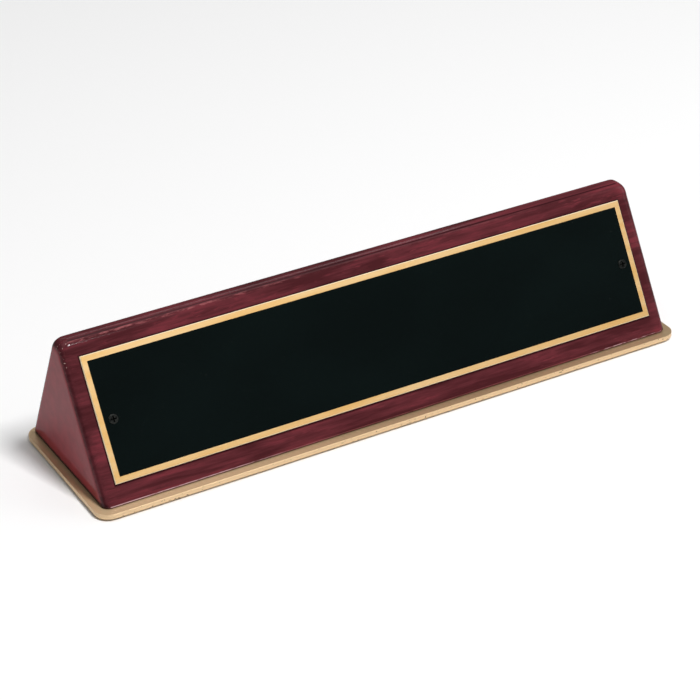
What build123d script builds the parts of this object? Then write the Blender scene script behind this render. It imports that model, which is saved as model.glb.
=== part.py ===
from build123d import *
import os
from math import cos, radians, sin, tan

# Desk name plate: a lacquered wooden wedge on a metal base, with a brass plate screwed to its front.
# Millimetres. +X runs along the length, +Y to the back and +Z up. The origin is on the desk, under
# the middle of the base.

# Name plate: sheet brass with a black coat inside a bare border
plate_length = 254.0
plate_height = 51.9
plate_thickness = 0.7
plate_edge_chamfer = 0.3
border_width = 2.5
coat_thickness = 0.06

# Wedge: the margins run along its sloping front, from the plate to the edges before rounding
side_margin = 7.0
lower_margin = 9.1
upper_margin = 6.3
face_tilt = 29.5
ridge_width = 7.3
ridge_crown = 0.3
ridge_corner_radius = 5.0
wedge_edge_radius = 3.5
foot_edge_radius = 0.8

# Base: a flat plate that stands out round the wedge's foot, least at the back
base_front_overhang = 3.3
base_end_overhang = 3.3
base_back_overhang = 1.0
base_thickness = 2.1
base_corner_radius = 6.7
base_edge_radius = 0.2

# Felt pads: one disc near each corner of the base
pad_diameter = 12.7
pad_thickness = 1.0
pad_edge_gap = 4.0

# Plate screws: raised countersunk heads, each set in from one end of the plate and a little below middle
plate_screw_inset = 6.4
plate_screw_drop = 1.1
plate_screw_length = 9.5
plate_screw_point_length = 1.8
plate_screw_head_diameter = 4.0
plate_screw_head_rise = 0.4
plate_screw_thread_diameter = 2.2
plate_screw_root_diameter = 1.5
plate_screw_pitch = 0.8
plate_screw_recess_span = 2.6
plate_screw_recess_width = 0.6

# Base screws: countersunk wood screws, each set in from one end of the wedge
base_screw_inset = 55.0
base_screw_length = 16.0
base_screw_point_length = 3.2
base_screw_head_diameter = 6.6
base_screw_thread_diameter = 3.5
base_screw_root_diameter = 2.4
base_screw_pitch = 1.4
base_screw_recess_span = 3.8
base_screw_recess_width = 0.9

# Shapes and fits shared by the screws: a raised head's rounding follows its rise, and the recess its cone
screw_head_angle = 82.0
screw_clearance = 0.05
head_round_share = 0.8
recess_depth_share = 0.65
recess_taper = 12.0

# Wedge sizes that follow from the plate and its margins
tilt = radians(face_tilt)
face_length = lower_margin + plate_height + upper_margin
wedge_length = plate_length + 2 * side_margin
wedge_height = face_length * cos(tilt)
wedge_depth = ridge_width + 2 * face_length * sin(tilt)
wedge_floor = pad_thickness + base_thickness
ridge_level = wedge_floor + wedge_height

# Base and pad places that follow from the wedge, with the base's middle over the origin
base_length = wedge_length + 2 * base_end_overhang
base_depth = base_front_overhang + wedge_depth + base_back_overhang
front_foot_y = base_front_overhang - base_depth / 2
back_foot_y = front_foot_y + wedge_depth
wedge_middle_y = (front_foot_y + back_foot_y) / 2
pad_inset = pad_edge_gap + pad_diameter / 2
pad_x = base_length / 2 - pad_inset
pad_y = base_depth / 2 - pad_inset

# Planes on the sloping front: the wood, the bare brass and the top of the coat, at the plate's middle
plate_middle = lower_margin + plate_height / 2
face_plane = Plane(
    origin=(0, front_foot_y + plate_middle * sin(tilt), wedge_floor + plate_middle * cos(tilt)),
    x_dir=(1, 0, 0),
    z_dir=(0, -cos(tilt), sin(tilt)),
)
brass_plane = face_plane.offset(plate_thickness)
coat_plane = brass_plane.offset(coat_thickness)

# Plane of the base's underside, seen from below: its Y runs to the front
underside_plane = Plane(origin=(0, 0, pad_thickness), x_dir=(1, 0, 0), z_dir=(0, 0, -1))

# Screw places on their planes, by the side that they are on
plate_screw_x = plate_length / 2 - plate_screw_inset
plate_screw_places = {
    "left": (-plate_screw_x, -plate_screw_drop),
    "right": (plate_screw_x, -plate_screw_drop),
}
base_screw_x = wedge_length / 2 - base_screw_inset
base_screw_places = {
    "left": (-base_screw_x, -wedge_middle_y),
    "right": (base_screw_x, -wedge_middle_y),
}

# Cones of the screws' heads, from the widest part of the head to the neck
cone_slope = tan(radians(screw_head_angle / 2))
plate_screw_cone_height = (plate_screw_head_diameter - plate_screw_root_diameter) / 2 / cone_slope
base_screw_cone_height = (base_screw_head_diameter - base_screw_root_diameter) / 2 / cone_slope


def side_plane(plane, place):
    """A plane through the axis of a screw that stands at place on plane, with the axis along its Y."""
    origin = plane.from_local_coords((*place, 0))
    return Plane(origin=origin, x_dir=plane.x_dir, z_dir=-plane.y_dir)


def shank_outline(root_diameter, thread_diameter, pitch, top, length, point_length):
    """Half outline of a ridged shank, as points of radius and height, from its top to its tip."""
    ridged_length = top + length - point_length
    ridge_count = max(1, round(ridged_length / pitch))
    ridge_step = ridged_length / ridge_count
    points = [(root_diameter / 2, top)]
    for ridge in range(ridge_count):
        ridge_top = top - ridge * ridge_step
        points.append((thread_diameter / 2, ridge_top - ridge_step / 2))
        points.append((root_diameter / 2, ridge_top - ridge_step))
    points.append((0, -length))
    return points


def countersunk_holes(plane, places, head_diameter, thread_diameter, length):
    """Drills the part in hand for screws that stand at places on plane, with room for heads and threads."""
    with Locations(plane):
        with Locations(*places.values()):
            CounterSinkHole(
                thread_diameter / 2 + screw_clearance,
                head_diameter / 2 + screw_clearance,
                depth=length + screw_clearance,
                counter_sink_angle=screw_head_angle,
            )


def plate_screw_holes():
    """Drills the part in hand for the plate screws."""
    countersunk_holes(
        coat_plane,
        plate_screw_places,
        plate_screw_head_diameter,
        plate_screw_thread_diameter,
        plate_screw_length,
    )


def base_screw_holes():
    """Drills the part in hand for the base screws."""
    countersunk_holes(
        underside_plane,
        base_screw_places,
        base_screw_head_diameter,
        base_screw_thread_diameter,
        base_screw_length,
    )


def cross_recess(plane, place, span, width):
    """The mouth of a cross recess at place on plane, which lies on the top of a screw's head."""
    with BuildSketch(plane) as mouth:
        with Locations(place):
            Rectangle(span, width)
            Rectangle(width, span)
    return mouth.sketch


os.makedirs("parts", exist_ok=True)

# Wedge: a truncated triangle along X with a slightly crowned ridge, its corners and all edges rounded
with BuildPart() as wedge_body:
    with BuildSketch(Plane.YZ):
        with BuildLine():
            front_foot = (front_foot_y, wedge_floor)
            back_foot = (back_foot_y, wedge_floor)
            front_ridge = (wedge_middle_y - ridge_width / 2, ridge_level)
            back_ridge = (wedge_middle_y + ridge_width / 2, ridge_level)
            Polyline(front_ridge, front_foot, back_foot, back_ridge)
            ThreePointArc(back_ridge, (wedge_middle_y, ridge_level + ridge_crown), front_ridge)
        make_face()
    extrude(amount=wedge_length / 2, both=True)
    ridge_ends = wedge_body.edges().filter_by(GeomType.CIRCLE)
    fillet(ridge_ends, radius=ridge_corner_radius)
    foot = wedge_body.faces().sort_by(Axis.Z)[0]
    front, *_, back = wedge_body.faces().sort_by(Axis.Y)
    fillet(front.edges() + back.edges() - foot.edges(), radius=wedge_edge_radius)
    foot = wedge_body.faces().sort_by(Axis.Z)[0]
    fillet(foot.edges(), radius=foot_edge_radius)
    plate_screw_holes()
    base_screw_holes()
wedge_body.part.label = "wedge_body"
export_step(wedge_body.part, "parts/wedge_body.step")

# Base: rounded corners, eased edges and two countersunk holes from below
with BuildPart() as base_plate:
    with BuildSketch(Plane.XY.offset(pad_thickness)):
        RectangleRounded(base_length, base_depth, base_corner_radius)
    extrude(amount=base_thickness)
    underside = base_plate.faces().sort_by(Axis.Z)[0]
    upper_side = base_plate.faces().sort_by(Axis.Z)[-1]
    fillet(underside.edges() + upper_side.edges(), radius=base_edge_radius)
    base_screw_holes()
base_plate.part.label = "base_plate"
export_step(base_plate.part, "parts/base_plate.step")

# Name plate: a square-cornered sheet with its front edges eased
with BuildPart() as name_plate:
    with BuildSketch(face_plane):
        Rectangle(plate_length, plate_height)
    extrude(amount=plate_thickness)
    front = name_plate.faces().sort_by(Axis(face_plane.origin, face_plane.z_dir))[-1]
    chamfer(front.edges(), length=plate_edge_chamfer)
    plate_screw_holes()
name_plate.part.label = "name_plate"
export_step(name_plate.part, "parts/name_plate.step")

# Black field: the coat on the brass, which leaves the border bare
with BuildPart() as black_field:
    with BuildSketch(brass_plane):
        Rectangle(plate_length - 2 * border_width, plate_height - 2 * border_width)
    extrude(amount=coat_thickness)
    plate_screw_holes()
black_field.part.label = "black_field"
export_step(black_field.part, "parts/black_field.step")

# Plate screws: countersunk heads that stand a little proud of the coat
head_radius = plate_screw_head_diameter / 2
head_plane = coat_plane.offset(plate_screw_head_rise)
for side, place in plate_screw_places.items():
    axial_plane = side_plane(coat_plane, place)
    with BuildPart() as plate_screw:
        with BuildSketch(axial_plane):
            with BuildLine():
                Polyline(
                    (0, plate_screw_head_rise),
                    (head_radius, plate_screw_head_rise),
                    (head_radius, 0),
                    *shank_outline(
                        plate_screw_root_diameter,
                        plate_screw_thread_diameter,
                        plate_screw_pitch,
                        -plate_screw_cone_height,
                        plate_screw_length,
                        plate_screw_point_length,
                    ),
                    close=True,
                )
            make_face()
        revolve(axis=Axis(axial_plane.origin, axial_plane.y_dir))
        crown = plate_screw.faces().sort_by(Axis(axial_plane.origin, axial_plane.y_dir))[-1]
        fillet(crown.edges(), radius=head_round_share * plate_screw_head_rise)
        mouth = cross_recess(head_plane, place, plate_screw_recess_span, plate_screw_recess_width)
        extrude(
            mouth,
            amount=-recess_depth_share * plate_screw_cone_height,
            taper=recess_taper,
            mode=Mode.SUBTRACT,
        )
    plate_screw.part.label = f"plate_screw_{side}"
    export_step(plate_screw.part, f"parts/plate_screw_{side}.step")

# Base screws: countersunk heads, flush with the base's underside
head_radius = base_screw_head_diameter / 2
for side, place in base_screw_places.items():
    axial_plane = side_plane(underside_plane, place)
    with BuildPart() as base_screw:
        with BuildSketch(axial_plane):
            with BuildLine():
                Polyline(
                    (0, 0),
                    (head_radius, 0),
                    *shank_outline(
                        base_screw_root_diameter,
                        base_screw_thread_diameter,
                        base_screw_pitch,
                        -base_screw_cone_height,
                        base_screw_length,
                        base_screw_point_length,
                    ),
                    close=True,
                )
            make_face()
        revolve(axis=Axis(axial_plane.origin, axial_plane.y_dir))
        mouth = cross_recess(underside_plane, place, base_screw_recess_span, base_screw_recess_width)
        extrude(
            mouth,
            amount=-recess_depth_share * base_screw_cone_height,
            taper=recess_taper,
            mode=Mode.SUBTRACT,
        )
    base_screw.part.label = f"base_screw_{side}"
    export_step(base_screw.part, f"parts/base_screw_{side}.step")

# Felt pads: plain discs stuck to the base's underside
for end, y in {"front": -pad_y, "back": pad_y}.items():
    for side, x in {"left": -pad_x, "right": pad_x}.items():
        with BuildPart() as felt_pad:
            with BuildSketch(Plane.XY):
                with Locations((x, y)):
                    Circle(pad_diameter / 2)
            extrude(amount=pad_thickness)
        felt_pad.part.label = f"felt_pad_{end}_{side}"
        export_step(felt_pad.part, f"parts/felt_pad_{end}_{side}.step")
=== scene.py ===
import math
import random

import bmesh
import bpy
from bpy.props import FloatProperty, FloatVectorProperty, IntProperty, PointerProperty
from bpy.types import NodeSocket, Operator, Panel, PropertyGroup
from mathutils import Matrix, Vector, noise


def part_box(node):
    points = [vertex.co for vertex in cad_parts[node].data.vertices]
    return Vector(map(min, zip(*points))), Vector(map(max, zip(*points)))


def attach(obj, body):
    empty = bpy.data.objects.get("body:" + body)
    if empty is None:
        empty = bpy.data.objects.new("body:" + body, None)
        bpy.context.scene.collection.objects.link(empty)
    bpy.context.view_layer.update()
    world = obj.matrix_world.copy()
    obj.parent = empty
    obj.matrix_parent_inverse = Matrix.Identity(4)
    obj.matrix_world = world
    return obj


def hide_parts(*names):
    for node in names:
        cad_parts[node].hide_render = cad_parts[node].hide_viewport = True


bl_info = {
    "name": "Desk name plate",
    "version": (1, 0, 0),
    "blender": (4, 5, 0),
    "location": "3D View > Sidebar > Name plate",
    "description": "Finishes the wood, metal, coat and felt of a desk name plate, and sets its stage",
    "category": "Object",
}

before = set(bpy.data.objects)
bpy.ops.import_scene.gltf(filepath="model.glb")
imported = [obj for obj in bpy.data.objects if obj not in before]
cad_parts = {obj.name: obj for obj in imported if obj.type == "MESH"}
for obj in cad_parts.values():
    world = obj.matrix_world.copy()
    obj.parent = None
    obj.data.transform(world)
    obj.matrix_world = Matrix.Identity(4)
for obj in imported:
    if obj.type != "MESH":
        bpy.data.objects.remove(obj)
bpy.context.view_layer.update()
pad_nodes = sorted(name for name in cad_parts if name.startswith("felt_pad"))
pad_low, pad_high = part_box(pad_nodes[0])

SIDEBAR_TAB = "Name plate"

RIGHT = (1.0, 0.0, 0.0)
FORWARD = (0.0, -1.0, 0.0)
UPWARD = (0.0, 0.0, 1.0)
FINE_RELIEF = 0.00002


def colour(name, description, default):
    """A colour that the user can change, in linear light."""
    return FloatVectorProperty(
        name=name, description=description, default=default, subtype="COLOR", size=3, min=0, max=1
    )


def length(name, description, default):
    """A length that the user can change, in metres."""
    return FloatProperty(
        name=name,
        description=description,
        default=default,
        min=0,
        precision=5,
        subtype="DISTANCE",
        unit="LENGTH",
    )


def angle(name, description, default):
    """An angle that the user can change, given in degrees."""
    return FloatProperty(
        name=name, description=description, default=math.radians(default), subtype="ANGLE", unit="ROTATION"
    )


def share(name, description, default):
    """A share from 0 to 1 that the user can change."""
    return FloatProperty(
        name=name, description=description, default=default, min=0, max=1, subtype="FACTOR"
    )


def power(name, description, default):
    """A lamp's power that the user can change, in watts."""
    return FloatProperty(name=name, description=description, default=default, min=0, unit="POWER")


class NAMEPLATE_PG_wood(PropertyGroup):
    """Stain, grain and lacquer of the wedge, and the painted light and shade laid on it."""

    dark_colour: colour("Dark grain", "Darkest streaks of the stained wood", (0.059, 0.0115, 0.0145))
    middle_colour: colour("Middle grain", "Usual tone of the stained wood", (0.093, 0.0190, 0.0240))
    red_colour: colour("Red grain", "Reddest patches of the stained wood", (0.158, 0.0268, 0.0360))
    # Painted light: this tone is lighter than the wood's own, to stand in for light that the ends lack.
    end_and_painted_light_colour: colour("End grain", "Tone of the wedge's two ends", (0.280, 0.0320, 0.0425))
    # Painted shade: a dark tone laid where shade and dark reflections fall on the wedge.
    painted_shade_colour: colour("Dark edges", "Stain gathered on the edges of the ends", (0.028, 0.0055, 0.0075))
    # Rubbed wear on the foot, and a painted highlight along the ridge's front rounding.
    rubbed_and_glint_colour: colour("Rubbed edge", "Pinker wood where the ridge is rubbed", (0.300, 0.0900, 0.0950))
    # Painted glint on the foot's rounding towards both ends, broken by rubbed wear.
    foot_wear_and_glint_colour: colour("Worn foot", "Pale wood where the edge of the foot is rubbed", (0.60, 0.42, 0.46))
    nick_colour: colour("Nicks", "Pale wood that shows where an edge is knocked", (0.42, 0.27, 0.24))
    nick_place: FloatVectorProperty(
        name="Nick place",
        description="Middle of the knocked stretch of edge",
        default=(-0.1328, -0.0042, 0.0570),
        size=3,
        subtype="TRANSLATION",
        unit="LENGTH",
    )
    nick_reach: length("Nick reach", "Distance from its middle to which the edge is knocked", 0.0075)
    streak_length: length("Streak length", "Length of the grain's streaks along the wedge", 0.026)
    streak_width: length("Streak width", "Width of the grain's streaks", 0.0020)
    face_tilt: angle("Face tilt", "Lean of the wedge's front and back from upright", 29.5)
    lacquer_share: share("Lacquer", "Strength of the clear lacquer's gloss", 0.37)
    lacquer_roughness: share("Lacquer roughness", "Roughness of the clear lacquer", 0.09)


class NAMEPLATE_PG_metal(PropertyGroup):
    """Gold of the base and brass of the plate."""

    gold_colour: colour("Base gold", "Pale gold of the base", (0.76, 0.545, 0.320))
    gold_worn_colour: colour("Worn gold", "Browner gold where the base is handled", (0.58, 0.40, 0.23))
    brass_colour: colour("Brass", "Bare brass of the plate's border", (0.710, 0.451, 0.174))
    brass_pale_colour: colour("Pale brass", "Paler streaks in the brushed brass", (0.743, 0.522, 0.262))
    # Cut metal on the plate's eased edges, partly a painted highlight.
    brass_cut_and_glint_colour: colour("Cut brass", "Bright metal on the plate's sheared edges", (0.97, 0.84, 0.60))
    # Painted shade on the plate's sides.
    brass_side_shade_colour: colour("Brass grime", "Grime on the sides of the plate", (0.05, 0.025, 0.012))
    zinc_colour: colour("Zinc", "Plating of the screws under the base", (0.56, 0.57, 0.56))
    gold_roughness: share("Base roughness", "Roughness of the base's gold", 0.42)
    gold_metal_share: share("Base metal share", "How much of the base's finish is bare metal", 0.72)
    brass_roughness: share("Brass roughness", "Roughness of the brushed brass", 0.58)


class NAMEPLATE_PG_black(PropertyGroup):
    """Black coat of the plate and black finish of its screws."""

    coat_colour: colour("Black coat", "Greenish black of the plate's field", (0.0014, 0.0042, 0.0040))
    screw_colour: colour("Black screws", "Black oxide of the plate screws", (0.006, 0.007, 0.0065))
    worn_colour: colour("Worn steel", "Grey steel that shows on the screws' heads", (0.040, 0.042, 0.039))
    coat_roughness: share("Coat roughness", "Roughness of the black coat", 0.15)


class NAMEPLATE_PG_felt(PropertyGroup):
    """Felt pads under the base."""

    felt_colour: colour("Felt", "Pressed brown felt", (0.060, 0.026, 0.018))
    fibre_colour: colour("Fibres", "Paler loose fibres of the felt", (0.130, 0.070, 0.050))
    diameter: length("Diameter", "Width of each pad", pad_high.x - pad_low.x)
    thickness: length("Thickness", "Height of each pad", pad_high.z - pad_low.z)
    fibre_count: IntProperty(
        name="Fibre count", description="Loose fibres round each pad", default=150, min=0, max=600
    )


class NAMEPLATE_PG_stage(PropertyGroup):
    """Floor, lamps and camera."""

    floor_colour: colour("Floor", "Pale floor", (0.94, 0.94, 0.94))
    air_colour: colour("Room", "Dim light from the room", (0.12, 0.12, 0.12))
    key_power: power("Key lamp", "Lamp in front and above", 49.0)
    top_power: power("Top lamp", "Wide soft lamp overhead", 14.0)
    side_power: power("Side lamp", "Soft lamp on the right", 7.0)
    back_power: power("Back lamp", "Low strip lamp behind", 0.5)
    view_azimuth: angle("View azimuth", "Camera's turn round the object, from straight in front", -28.4355)
    view_elevation: angle("View elevation", "Camera's height above the horizon", 29.5078)
    view_roll: angle("View roll", "Camera's roll about its line of sight", -2.0399)
    view_distance: length("View distance", "Distance from the camera to the point it looks at", 0.995279)
    view_lens: FloatProperty(
        name="Lens", description="Focal length on a 36 mm sensor", default=122.4619, min=1, unit="CAMERA"
    )
    view_target: FloatVectorProperty(
        name="View target",
        description="Point that the camera looks at",
        default=(-0.0057079, -0.0031943, 0.0210345),
        size=3,
        subtype="TRANSLATION",
        unit="LENGTH",
    )


def leaning_ahead(rise):
    """The direction that points ahead and an angle rise up from level."""
    return Vector((0.0, -math.cos(rise), math.sin(rise)))


def up_the_slope(tilt):
    """The direction up a front face that leans back an angle tilt from upright."""
    return Vector((0.0, math.sin(tilt), math.cos(tilt)))


class Finish:
    """A material being made, with short ways to add its nodes and to join them."""

    def __init__(self, name):
        self.material = bpy.data.materials.new(name)
        self.material.use_nodes = True
        self.nodes = self.material.node_tree.nodes
        self.links = self.material.node_tree.links
        self.shader = self.nodes["Principled BSDF"]
        self.place = self.add("ShaderNodeTexCoord").outputs["Object"]
        self.normal = self.add("ShaderNodeNewGeometry").outputs["Normal"]

    def feed(self, socket, value):
        """Joins a socket to another, or sets its value."""
        if isinstance(value, NodeSocket):
            self.links.new(value, socket)
        else:
            socket.default_value = value

    def add(self, kind, inputs=None, **settings):
        """A new node with its settings and inputs."""
        made = self.nodes.new(kind)
        for name, value in settings.items():
            setattr(made, name, value)
        for name, value in (inputs or {}).items():
            self.feed(made.inputs[name], value)
        return made

    def surface(self, **inputs):
        """Sets inputs of the shader, whose names are given with _ for spaces."""
        for name, value in inputs.items():
            self.feed(self.shader.inputs[name.replace("_", " ")], value)

    def number(self, operation, *values):
        """The result of a sum on numbers."""
        made = self.add("ShaderNodeMath", operation=operation)
        for socket, value in zip(made.inputs, values):
            self.feed(socket, value)
        return made.outputs[0]

    def most(self, *values):
        """The largest of several numbers."""
        largest = values[0]
        for value in values[1:]:
            largest = self.number("MAXIMUM", largest, value)
        return largest

    def facing(self, direction):
        """How far the surface faces a direction, from -1 to 1."""
        made = self.add("ShaderNodeVectorMath", {0: self.normal, 1: direction}, operation="DOT_PRODUCT")
        return made.outputs["Value"]

    def rounding(self, rise, least):
        """A line on the front roundings where they face rise degrees up, faded out below a share least."""
        return self.fitted(self.facing(leaning_ahead(math.radians(rise))), least, 1.0)

    def along(self, direction):
        """How far the point lies along a direction from the origin, in metres."""
        made = self.add("ShaderNodeVectorMath", {0: self.place, 1: direction}, operation="DOT_PRODUCT")
        return made.outputs["Value"]

    def fitted(self, value, low, high, to_low=0.0, to_high=1.0):
        """A value from low to high, eased to to_low and to_high and held beyond them."""
        made = self.add("ShaderNodeMapRange", interpolation_type="SMOOTHSTEP")
        for socket, given in zip(made.inputs, (value, low, high, to_low, to_high)):
            self.feed(socket, given)
        return made.outputs[0]

    def cloud(self, size, detail=2.0, roughness=0.5, shift=0.0, turn=(0.0, 0.0, 0.0), distortion=0.0):
        """Noise from 0 to 1 whose lumps measure size along X, Y and Z."""
        mapping = self.add(
            "ShaderNodeMapping",
            {
                "Vector": self.place,
                "Location": (shift, shift, shift),
                "Rotation": turn,
                "Scale": tuple(1 / side for side in size),
            },
        )
        made = self.add(
            "ShaderNodeTexNoise",
            {
                "Vector": mapping.outputs[0],
                "Scale": 1.0,
                "Detail": detail,
                "Roughness": roughness,
                "Distortion": distortion,
            },
        )
        return made.outputs[0]

    def ramp(self, value, *stops):
        """Colours laid along a value, each stop a place from 0 to 1 and a colour."""
        made = self.add("ShaderNodeValToRGB", {0: value})
        elements = made.color_ramp.elements
        while len(elements) < len(stops):
            elements.new(1.0)
        for element, (place, tone) in zip(elements, stops):
            element.position = place
            element.color = (*tone, 1.0)
        return made.outputs[0]

    def mixed(self, part, first, second):
        """A blend of two colours, from the first at 0 to the second at 1."""
        made = self.add("ShaderNodeMix", data_type="RGBA")
        self.feed(made.inputs[0], part)
        for socket, tone in ((made.inputs[6], first), (made.inputs[7], second)):
            self.feed(socket, tone if isinstance(tone, NodeSocket) else (*tone, 1.0))
        return made.outputs[2]

    def raised(self, height, depth, strength=1.0, below=None):
        """A normal for a surface whose height map stands depth metres tall."""
        inputs = {"Height": height, "Distance": depth, "Strength": strength}
        if below:
            inputs["Normal"] = below
        return self.add("ShaderNodeBump", inputs).outputs[0]


def lacquered_wood(settings, floor, half_length, lower, upper):
    """Red-brown stained wood with its grain along X, under a clear gloss lacquer, with painted light and
    shade on its ends, edges, ridge and foot.

    The wedge stands at the level floor, and the plate on its front reaches half_length to both sides,
    from lower to upper up the slope.
    """
    wood = Finish("Lacquered wood")
    streak = (settings.streak_length, settings.streak_width, settings.streak_width)
    slant = (0.0, math.radians(0.8), math.radians(-1.1))
    across = wood.along(RIGHT)
    height = wood.along(UPWARD)
    up = wood.along(up_the_slope(settings.face_tilt))
    ahead = wood.fitted(wood.facing(FORWARD), 0.0, 0.5)
    endways = wood.number("ABSOLUTE", wood.facing(RIGHT))

    # Grain: streaks, broad figure, fine fibres, short bright flecks and dark pores
    bands = wood.cloud(streak, detail=3.0, roughness=0.55, turn=slant, distortion=0.4)
    figure = wood.cloud((0.05, 0.010, 0.010), detail=3.0, shift=6.0, turn=slant, distortion=0.8)
    fibres = wood.cloud((0.009, 0.0006, 0.0006), detail=3.0, shift=9.0, turn=slant)
    flecks = wood.cloud((0.005, 0.0010, 0.0010), detail=2.0, shift=27.0, turn=slant)
    pores = wood.cloud((0.007, 0.00022, 0.00022), detail=0.0, shift=17.0, turn=slant)
    tone = wood.number("MULTIPLY_ADD", figure, 0.56, wood.number("MULTIPLY", bands, 0.34))
    tone = wood.number("MULTIPLY_ADD", fibres, 0.10, tone)

    # Front: darker towards the ridge and the right, and lighter close to the right end, where a painted
    # sheen stands for the gloss on its rounding
    darkening = wood.fitted(wood.along((0.7, 0, 5)), -0.03, 0.32, -0.01, 0.065)
    painted_sheen_right = wood.fitted(across, 0.126, 0.130, 0.0, 0.06)
    darkening = wood.number("SUBTRACT", darkening, painted_sheen_right)
    tone = wood.number("SUBTRACT", tone, wood.number("MULTIPLY", darkening, ahead))
    stain = wood.ramp(
        tone,
        (0.41, settings.dark_colour),
        (0.50, settings.middle_colour),
        (0.62, settings.red_colour),
    )
    bright = wood.fitted(flecks, 0.56, 0.70, 0.0, 0.7)
    lit = wood.number("MULTIPLY", bright, wood.fitted(figure, 0.42, 0.60))
    stain = wood.mixed(lit, stain, settings.red_colour)
    stain = wood.mixed(wood.fitted(pores, 0.66, 0.74, 0.0, 0.45), stain, settings.dark_colour)

    # Ends: the grain runs into the wood, so it shows as an even tone with faint mottling, painted lighter
    # than the front to stand in for light that the ends lack
    mottle = wood.cloud((0.02, 0.004, 0.004), detail=3.0, shift=2.0)
    mottled = wood.fitted(mottle, 0.3, 0.7, 0.0, 0.25)
    end_and_painted_light_tone = wood.mixed(mottled, settings.end_and_painted_light_colour, settings.middle_colour)
    stain = wood.mixed(wood.fitted(endways, 0.90, 0.995), stain, end_and_painted_light_tone)

    # End edges: painted shade darkens the roundings of the ends and a band along their foot
    painted_edge_shade = wood.number(
        "MULTIPLY", wood.fitted(endways, 0.46, 0.64, 0.0, 0.4), wood.fitted(endways, 0.74, 0.95, 1.0, 0.0)
    )
    stain = wood.mixed(painted_edge_shade, stain, settings.painted_shade_colour)
    # Painted shade along the foot of the ends.
    low = wood.fitted(height, floor + 0.0012, floor + 0.0026, 0.9, 0.0)
    painted_foot_shade = wood.number("MULTIPLY", low, wood.fitted(endways, 0.30, 0.60))
    stain = wood.mixed(painted_foot_shade, stain, settings.painted_shade_colour)

    # Plate's seat: a thin line of painted shadow on the wood round the plate, widest below it
    widening = 0.0004
    beyond = wood.most(
        wood.number("SUBTRACT", wood.number("ABSOLUTE", across), half_length),
        wood.number("SUBTRACT", lower - widening, up),
        wood.number("SUBTRACT", up, upper),
    )
    painted_seat_shadow = wood.number("MULTIPLY", wood.fitted(beyond, 0.0002, 0.0007, 0.95, 0.0), ahead)
    stain = wood.mixed(painted_seat_shadow, stain, settings.painted_shade_colour)

    # Ridge: a broken pink line along its front rounding, partly rubbed wear and partly a painted highlight,
    # with a thin line of painted shade above it
    dashes = wood.cloud((0.005, 0.0012, 0.0012), detail=3.0, roughness=0.7, shift=36.0)
    fading = wood.fitted(across, -0.09, 0.00, 1.0, 0.1)
    rubbed = wood.number("MULTIPLY", wood.rounding(60, 0.975), wood.fitted(dashes, 0.46, 0.66))
    stain = wood.mixed(wood.number("MULTIPLY", rubbed, fading), stain, settings.rubbed_and_glint_colour)
    painted_brow_shade = wood.number("MULTIPLY", wood.rounding(78, 0.990), 0.8)
    stain = wood.mixed(painted_brow_shade, stain, settings.painted_shade_colour)

    # Foot: painted shade under its front rounding, and a line on the rounding that is rubbed wear in the
    # middle and a pale painted glint towards both ends
    stain = wood.mixed(wood.number("MULTIPLY", wood.rounding(-50, 0.85), 0.8), stain, settings.painted_shade_colour)
    glint_left = wood.fitted(across, -0.10, -0.02, 1.0, 0.0)
    glint_right = wood.fitted(across, 0.085, 0.105, 0.0, 0.75)
    glint_right = wood.number("MULTIPLY", glint_right, wood.fitted(dashes, 0.42, 0.58))
    paler = wood.most(glint_left, glint_right)
    foot_wear_and_glint = wood.number("MULTIPLY", wood.rounding(4, 0.93), wood.fitted(dashes, 0.25, 0.55))
    foot_wear_and_glint = wood.number("MULTIPLY", foot_wear_and_glint, wood.fitted(paler, 0.0, 1.0, 0.4, 0.9))
    foot_wear_and_glint_tone = wood.mixed(paler, settings.rubbed_and_glint_colour, settings.foot_wear_and_glint_colour)
    stain = wood.mixed(foot_wear_and_glint, stain, foot_wear_and_glint_tone)

    # Knocked corner: a few pale nicks on the roundings round one place
    flat = wood.most(endways, wood.facing(leaning_ahead(settings.face_tilt)))
    edge = wood.fitted(flat, 0.80, 0.97, 1.0, 0.0)
    gap = wood.add("ShaderNodeVectorMath", {0: wood.place, 1: settings.nick_place}, operation="DISTANCE")
    near = wood.fitted(gap.outputs["Value"], 0.6 * settings.nick_reach, settings.nick_reach, 1.0, 0.0)
    chips = wood.cloud((0.0011, 0.0007, 0.0010), detail=2.0, shift=31.0)
    nicked = wood.number("MULTIPLY", wood.fitted(chips, 0.64, 0.67), near)
    nicked = wood.number("MULTIPLY", nicked, edge)
    stain = wood.mixed(nicked, stain, settings.nick_colour)

    # Lacquer: long shallow waves over a slightly uneven gloss
    waves = wood.cloud((0.03, 0.012, 0.012), detail=1.0, shift=12.0)
    hazed = wood.cloud((0.05, 0.02, 0.02), detail=4.0, shift=21.0)
    wood.surface(
        Base_Color=stain,
        Roughness=wood.fitted(hazed, 0.3, 0.7, 0.38, 0.52),
        Specular_IOR_Level=0.0,
        Coat_Weight=settings.lacquer_share,
        Coat_Roughness=settings.lacquer_roughness,
        Coat_IOR=1.5,
        Normal=wood.raised(fibres, FINE_RELIEF, 0.2),
        Coat_Normal=wood.raised(waves, 0.00012, 0.35),
    )
    return wood.material


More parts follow.
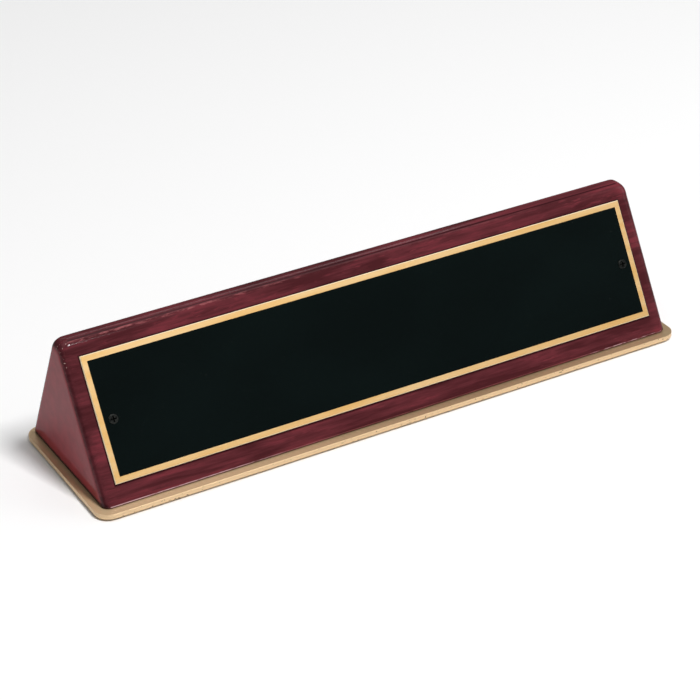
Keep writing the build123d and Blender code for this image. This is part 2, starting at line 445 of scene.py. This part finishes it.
def pale_gold(settings):
    """Satin gold of the base, with a fine grain along X, faint stains and dark specks on its edges."""
    gold = Finish("Pale gold")
    grain = gold.cloud((0.02, 0.00025, 0.00025), detail=3.0, shift=3.0)
    clouding = gold.cloud((0.03, 0.02, 0.02), detail=4.0, shift=7.0)
    stained = gold.cloud((0.009, 0.007, 0.007), detail=5.0, roughness=0.65, shift=15.0)
    browned = gold.fitted(stained, 0.52, 0.78, 0.0, 0.40)
    tone = gold.mixed(browned, settings.gold_colour, settings.gold_worn_colour)

    # Edges: worn browner, with specks of grime
    upward = gold.facing(UPWARD)
    side = gold.fitted(gold.number("ABSOLUTE", upward), 0.15, 0.985, 1.0, 0.0)
    specks = gold.cloud((0.0011, 0.0009, 0.0009), detail=2.0, shift=40.0)
    grime = gold.number("MULTIPLY", gold.fitted(specks, 0.66, 0.70, 0.0, 0.8), side)
    tone = gold.mixed(grime, tone, (0.09, 0.05, 0.025))

    # Sheen: cloudy, with the grain in it, and smoother on the upper side
    rough = gold.number("MULTIPLY_ADD", clouding, 0.14, settings.gold_roughness - 0.07)
    rough = gold.number("MULTIPLY_ADD", grain, 0.10, gold.number("SUBTRACT", rough, 0.05))
    rough = gold.number("SUBTRACT", rough, gold.fitted(upward, 0.90, 0.99, 0.0, 0.09))

    # Haze: the finish is duller and paler towards the left end
    hazy_share = settings.gold_metal_share - 0.30
    gold.surface(
        Base_Color=tone,
        Metallic=gold.fitted(gold.along(RIGHT), -0.12, 0.04, hazy_share, settings.gold_metal_share),
        Roughness=gold.number("MULTIPLY_ADD", grime, 0.3, rough),
        Normal=gold.raised(grain, FINE_RELIEF, 0.25),
    )
    return gold.material


def brushed_brass(settings, outward):
    """Bare brass with brush lines along X, brighter metal on its eased edges, partly a painted highlight,
    and painted shade on its sides.
    """
    brass = Finish("Brushed brass")
    lines = brass.cloud((0.03, 0.00018, 0.00018), detail=3.0, shift=5.0)
    broad = brass.cloud((0.04, 0.004, 0.004), detail=3.0, shift=8.0)
    tone = brass.mixed(brass.fitted(broad, 0.35, 0.70), settings.brass_colour, settings.brass_pale_colour)
    ahead = brass.facing(outward)
    # Eased edges: brighter cut metal, partly a painted highlight.
    cut_edge_and_glint = brass.fitted(ahead, 0.60, 0.95, 1.0, 0.0)
    tone = brass.mixed(cut_edge_and_glint, tone, settings.brass_cut_and_glint_colour)
    # Sides: painted shade.
    tone = brass.mixed(brass.fitted(ahead, 0.15, 0.45, 1.0, 0.0), tone, settings.brass_side_shade_colour)
    rough = brass.number("MULTIPLY_ADD", lines, 0.16, settings.brass_roughness - 0.08)
    brass.surface(
        Base_Color=tone,
        Metallic=brass.fitted(cut_edge_and_glint, 0.0, 1.0, 1.0, 0.3),
        Roughness=rough,
        Normal=brass.raised(lines, FINE_RELIEF, 0.25),
    )
    return brass.material


def black_coat(settings):
    """Greenish-black semi-gloss coat with a slight texture, faint clouding and dust specks."""
    coat = Finish("Black coat")
    skin = coat.cloud((0.0022, 0.0022, 0.0022), detail=2.0, shift=2.0)
    haze = coat.cloud((0.05, 0.03, 0.03), detail=4.0, shift=11.0)
    dust = coat.cloud((0.0006, 0.0006, 0.0006), detail=1.0, shift=23.0)
    dusty = coat.fitted(dust, 0.79, 0.82, 0.0, 0.6)
    deep = tuple(0.75 * part for part in settings.coat_colour)
    tone = coat.mixed(coat.fitted(haze, 0.3, 0.7), deep, settings.coat_colour)
    tone = coat.mixed(dusty, tone, (0.05, 0.055, 0.05))
    rough = coat.number("MULTIPLY_ADD", haze, 0.06, settings.coat_roughness - 0.03)
    coat.surface(
        Base_Color=tone,
        Roughness=rough,
        Specular_IOR_Level=0.25,
        Normal=coat.raised(skin, FINE_RELIEF, 0.10),
    )
    return coat.material


def black_oxide(settings, axis, crown):
    """Black finish of the plate screws, worn to grey steel on their heads and black in the recesses."""
    black = Finish("Black oxide")
    outward = black.facing(axis)
    head = black.number(
        "MULTIPLY", black.fitted(outward, 0.25, 0.55), black.fitted(outward, 0.80, 0.97, 1.0, 0.5)
    )
    sunk = black.number("SUBTRACT", crown, black.along(axis))
    head = black.number("MULTIPLY", head, black.fitted(sunk, 0.0004, 0.0006, 1.0, 0.0))
    rubbed = black.cloud((0.0007, 0.0007, 0.0007), detail=4.0, roughness=0.7, shift=3.0)
    worn = black.number("MULTIPLY", head, black.fitted(rubbed, 0.38, 0.60, 0.15, 0.9))
    tone = black.mixed(worn, settings.screw_colour, settings.worn_colour)
    black.surface(
        Base_Color=tone,
        Metallic=0.75,
        Specular_IOR_Level=0.25,
        Roughness=black.fitted(rubbed, 0.3, 0.7, 0.32, 0.50),
        Normal=black.raised(rubbed, FINE_RELIEF, 0.3),
    )
    return black.material


def bright_zinc(settings):
    """Zinc plate of the screws under the base, with a cloudy bloom that dulls it in patches."""
    zinc = Finish("Bright zinc")
    bloom = zinc.cloud((0.002, 0.002, 0.002), detail=5.0, roughness=0.6, shift=5.0)
    dulled = tuple(0.62 * part for part in settings.zinc_colour)
    zinc.surface(
        Base_Color=zinc.mixed(zinc.fitted(bloom, 0.38, 0.68), settings.zinc_colour, dulled),
        Metallic=1.0,
        Roughness=zinc.fitted(bloom, 0.3, 0.7, 0.24, 0.44),
        Normal=zinc.raised(bloom, 0.00003, 0.2),
    )
    return zinc.material


def pressed_felt(settings):
    """Brown felt: a mat of short fibres with paler ones on top, and painted shade in the hollows of its
    relief.
    """
    felt = Finish("Pressed felt")
    mat = felt.cloud((0.0008, 0.0008, 0.0008), detail=6.0, roughness=0.7, shift=1.0, distortion=2.5)
    strands = felt.cloud((0.00016, 0.0014, 0.0006), detail=2.0, shift=14.0, distortion=3.0)
    paler = felt.fitted(strands, 0.55, 0.72, 0.0, 0.8)
    tone = felt.mixed(paler, settings.felt_colour, settings.fibre_colour)
    # Painted shade in the hollows of the felt's relief.
    shade = tuple(0.5 * part for part in settings.felt_colour)
    felt.surface(
        Base_Color=felt.mixed(felt.fitted(mat, 0.50, 0.30), tone, shade),
        Roughness=felt.fitted(mat, 0.3, 0.7, 0.86, 1.0),
        Specular_IOR_Level=0.15,
        Sheen_Weight=0.35,
        Sheen_Roughness=0.5,
        Normal=felt.raised(mat, 0.0002, 0.8),
    )
    return felt.material


def dress(names, material):
    """Gives CAD nodes a material."""
    for name in names:
        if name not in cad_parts:
            raise RuntimeError(f"the frame has no node named {name}")
        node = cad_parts[name]
        node.data.materials.clear()
        node.data.materials.append(material)


class NAMEPLATE_OT_wedge(Operator):
    """Finishes the wedge in lacquered wood"""

    bl_idname = "nameplate.wedge"
    bl_label = "Finish wedge"

    def execute(self, context):
        settings = context.scene.nameplate_wood
        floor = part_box("wedge_body")[0].z
        up = up_the_slope(settings.face_tilt)
        plate_points = [vertex.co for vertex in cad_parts["name_plate"].data.vertices]
        half_length = max(point.x for point in plate_points)
        heights = [up.dot(point) for point in plate_points]
        dress(["wedge_body"], lacquered_wood(settings, floor, half_length, min(heights), max(heights)))
        return {"FINISHED"}


class NAMEPLATE_OT_base(Operator):
    """Finishes the base in pale gold and its two screws in zinc"""

    bl_idname = "nameplate.base"
    bl_label = "Finish base"

    def execute(self, context):
        metal = context.scene.nameplate_metal
        dress(["base_plate"], pale_gold(metal))
        dress(["base_screw_left", "base_screw_right"], bright_zinc(metal))
        return {"FINISHED"}


class NAMEPLATE_OT_plate(Operator):
    """Finishes the plate in brushed brass, its field in black and its two screws in black oxide"""

    bl_idname = "nameplate.plate"
    bl_label = "Finish plate"

    def execute(self, context):
        scene = context.scene
        outward = leaning_ahead(scene.nameplate_wood.face_tilt)
        screws = ["plate_screw_left", "plate_screw_right"]
        crown = max(outward.dot(vertex.co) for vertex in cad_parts[screws[0]].data.vertices)
        dress(["name_plate"], brushed_brass(scene.nameplate_metal, outward))
        dress(["black_field"], black_coat(scene.nameplate_black))
        dress(screws, black_oxide(scene.nameplate_black, outward, crown))
        return {"FINISHED"}


def felt_outline(diameter, thickness):
    """Half section of a felt disc, as radius and height from its foot's middle to its top's middle."""
    radius = diameter / 2
    rounding = 0.28 * thickness
    foot_steps, round_steps, side_steps, top_steps = 12, 4, 5, 4
    points = [(radius * step / foot_steps * (1 - rounding / radius), 0.0) for step in range(foot_steps + 1)]
    for step in range(1, round_steps + 1):
        turn = math.pi / 2 * step / round_steps
        points.append((radius - rounding * (1 - math.sin(turn)), rounding * (1 - math.cos(turn))))
    for step in range(1, side_steps + 1):
        points.append((radius, rounding + (thickness - rounding) * step / side_steps))
    points += [(radius * (1 - step / top_steps), thickness) for step in range(1, top_steps + 1)]
    return points


def matted(radius, turn, height, thickness, seed):
    """A point on a felt disc, pushed about as matted fibres push it, and kept within the disc's height."""
    place = Vector((radius * math.cos(turn), radius * math.sin(turn), height))
    grain = place * 2600 + Vector((seed * 7.3, seed * 3.1, seed * 5.7))
    swell = noise.fractal(grain, 0.7, 2.1, 4)
    lump = noise.noise(place * 600 + Vector((seed * 1.9, 0, 0)))
    outward = 1 + (0.00006 * swell + 0.00010 * lump) / max(radius, 0.001)
    lift = 0.00004 * max(0.0, swell + lump) if height < thickness * 0.9 else 0.0
    return Vector((place.x * outward, place.y * outward, min(height + lift, thickness)))


def add_fibre(mesh, root, tip, bow, width):
    """A loose fibre: a thin three-sided spike from root to tip that bows on its way."""
    along = (tip - root).normalized()
    side = along.orthogonal().normalized()
    middle = (root + tip) / 2 + bow
    rings = []
    for centre, size in ((root, width), (middle, 0.7 * width)):
        turned = [Matrix.Rotation(2 * math.pi * k / 3, 3, along) @ side * size / 2 for k in range(3)]
        rings.append([mesh.verts.new(centre + offset) for offset in turned])
    point = mesh.verts.new(tip)
    mesh.faces.new(reversed(rings[0]))
    for k in range(3):
        following = (k + 1) % 3
        mesh.faces.new((rings[0][k], rings[0][following], rings[1][following], rings[1][k]))
        mesh.faces.new((rings[1][k], rings[1][following], point))


def felt_disc(name, settings, seed):
    """A matted felt disc with loose fibres round its side, standing on the floor at the origin."""
    segments = 72
    thickness = settings.thickness
    mesh = bmesh.new()
    outline = felt_outline(settings.diameter, thickness)
    rings = []
    for radius, height in outline[1:-1]:
        turns = [2 * math.pi * k / segments for k in range(segments)]
        rings.append([mesh.verts.new(matted(radius, turn, height, thickness, seed)) for turn in turns])
    foot = mesh.verts.new((0, 0, 0))
    top = mesh.verts.new((0, 0, thickness))
    for k in range(segments):
        following = (k + 1) % segments
        mesh.faces.new((foot, rings[0][following], rings[0][k]))
        mesh.faces.new((top, rings[-1][k], rings[-1][following]))
        for lower, upper in zip(rings, rings[1:]):
            mesh.faces.new((lower[k], lower[following], upper[following], upper[k]))

    draw = random.Random(seed)
    reach = settings.diameter / 2
    for _ in range(settings.fibre_count):
        turn = draw.uniform(0, 2 * math.pi)
        height = draw.uniform(0.15, 0.9) * thickness
        outward = Vector((math.cos(turn), math.sin(turn), 0))
        across = Vector((-math.sin(turn), math.cos(turn), 0))
        root = outward * (reach - 0.0002) + Vector((0, 0, height))
        span = draw.uniform(0.0003, 0.0009)
        tip = root + outward * span + across * draw.uniform(-0.8, 0.8) * span
        tip.z = min(max(height + draw.uniform(-0.5, 0.3) * span, 0.02 * thickness), 0.97 * thickness)
        bow = Vector((0, 0, draw.uniform(-0.1, 0.1) * span)) + across * draw.uniform(-0.2, 0.2) * span
        add_fibre(mesh, root, tip, bow, draw.uniform(0.00003, 0.00006))

    bmesh.ops.recalc_face_normals(mesh, faces=mesh.faces)
    data = bpy.data.meshes.new(name)
    mesh.to_mesh(data)
    mesh.free()
    data.shade_smooth()
    disc = bpy.data.objects.new(name, data)
    bpy.context.scene.collection.objects.link(disc)
    return disc


class NAMEPLATE_OT_pads(Operator):
    """Makes the felt pads under the base"""

    bl_idname = "nameplate.pads"
    bl_label = "Make felt pads"

    def execute(self, context):
        settings = context.scene.nameplate_felt
        material = pressed_felt(settings)
        for number, node in enumerate(pad_nodes):
            low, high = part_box(node)
            disc = felt_disc(node.replace("felt_pad", "felt_disc"), settings, seed=number + 1)
            disc.data.materials.append(material)
            disc.location = ((low.x + high.x) / 2, (low.y + high.y) / 2, low.z)
            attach(disc, "root")
            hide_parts(node)
        return {"FINISHED"}


def add_lamp(name, place, aim, size, watts):
    """A soft rectangular lamp that looks at aim, hidden from the camera itself."""
    data = bpy.data.lights.new(name, "AREA")
    data.shape = "RECTANGLE"
    data.size, data.size_y = size
    data.energy = watts
    lamp = bpy.data.objects.new(name, data)
    lamp.location = place
    lamp.rotation_euler = (Vector(aim) - Vector(place)).to_track_quat("-Z", "Y").to_euler()
    lamp.visible_camera = False
    bpy.context.scene.collection.objects.link(lamp)


class NAMEPLATE_OT_stage(Operator):
    """Sets the floor, the lamps and the camera"""

    bl_idname = "nameplate.stage"
    bl_label = "Set stage"

    def execute(self, context):
        scene = context.scene
        settings = scene.nameplate_stage
        scene.view_settings.view_transform = "Standard"

        reach = 4.0
        data = bpy.data.meshes.new("floor")
        corners = [(-reach, -reach, 0), (reach, -reach, 0), (reach, reach, 0), (-reach, reach, 0)]
        data.from_pydata(corners, [], [(0, 1, 2, 3)])
        floor = bpy.data.objects.new("floor", data)
        scene.collection.objects.link(floor)
        paper = bpy.data.materials.new("Pale floor")
        paper.use_nodes = True
        shader = paper.node_tree.nodes["Principled BSDF"]
        shader.inputs["Base Color"].default_value = (*settings.floor_colour, 1.0)
        shader.inputs["Roughness"].default_value = 0.9
        shader.inputs["Specular IOR Level"].default_value = 0.0
        data.materials.append(paper)

        world = bpy.data.worlds.new("Room")
        world.use_nodes = True
        world.node_tree.nodes["Background"].inputs["Color"].default_value = (*settings.air_colour, 1.0)
        scene.world = world

        middle = (0.0, 0.0, 0.03)
        add_lamp("key_lamp", (0.32, -1.20, 2.03), middle, (0.45, 0.7), settings.key_power)
        add_lamp("top_lamp", (-0.20, 0.60, 2.20), middle, (3.0, 2.0), settings.top_power)
        add_lamp("side_lamp", (1.90, -0.90, 1.20), middle, (1.4, 1.2), settings.side_power)
        add_lamp("back_lamp", (0.20, 1.33, 0.90), middle, (1.3, 0.05), settings.back_power)

        turn, rise = settings.view_azimuth, settings.view_elevation
        back = Vector((math.sin(turn) * math.cos(rise), -math.cos(turn) * math.cos(rise), math.sin(rise)))
        lens = bpy.data.cameras.new("camera")
        lens.lens = settings.view_lens
        camera = bpy.data.objects.new("camera", lens)
        aimed = (-back).to_track_quat("-Z", "Y").to_matrix()
        rolled = aimed @ Matrix.Rotation(settings.view_roll, 3, "Z")
        place = Vector(settings.view_target) + back * settings.view_distance
        camera.matrix_world = Matrix.Translation(place) @ rolled.to_4x4()
        scene.collection.objects.link(camera)
        scene.camera = camera
        return {"FINISHED"}


class NAMEPLATE_PT_panel(Panel):
    """Lists the steps that finish the name plate"""

    bl_idname = "NAMEPLATE_PT_panel"
    bl_label = "Desk name plate"
    bl_space_type = "VIEW_3D"
    bl_region_type = "UI"
    bl_category = SIDEBAR_TAB

    def draw(self, context):
        for step in steps:
            self.layout.operator(step.bl_idname)
        for name in settings_groups:
            group = getattr(context.scene, name)
            box = self.layout.box()
            for field in group.__annotations__:
                box.prop(group, field)


settings_groups = {
    "nameplate_wood": NAMEPLATE_PG_wood,
    "nameplate_metal": NAMEPLATE_PG_metal,
    "nameplate_black": NAMEPLATE_PG_black,
    "nameplate_felt": NAMEPLATE_PG_felt,
    "nameplate_stage": NAMEPLATE_PG_stage,
}
steps = (
    NAMEPLATE_OT_wedge,
    NAMEPLATE_OT_base,
    NAMEPLATE_OT_plate,
    NAMEPLATE_OT_pads,
    NAMEPLATE_OT_stage,
)
classes = (*settings_groups.values(), *steps, NAMEPLATE_PT_panel)


def register():
    for made in classes:
        bpy.utils.register_class(made)
    for name, group in settings_groups.items():
        setattr(bpy.types.Scene, name, PointerProperty(type=group))


def unregister():
    for name in settings_groups:
        delattr(bpy.types.Scene, name)
    for made in reversed(classes):
        bpy.utils.unregister_class(made)


def main():
    register()
    bpy.ops.nameplate.wedge()
    bpy.ops.nameplate.base()
    bpy.ops.nameplate.plate()
    bpy.ops.nameplate.pads()
    bpy.ops.nameplate.stage()


if __name__ == "__main__":
    main()
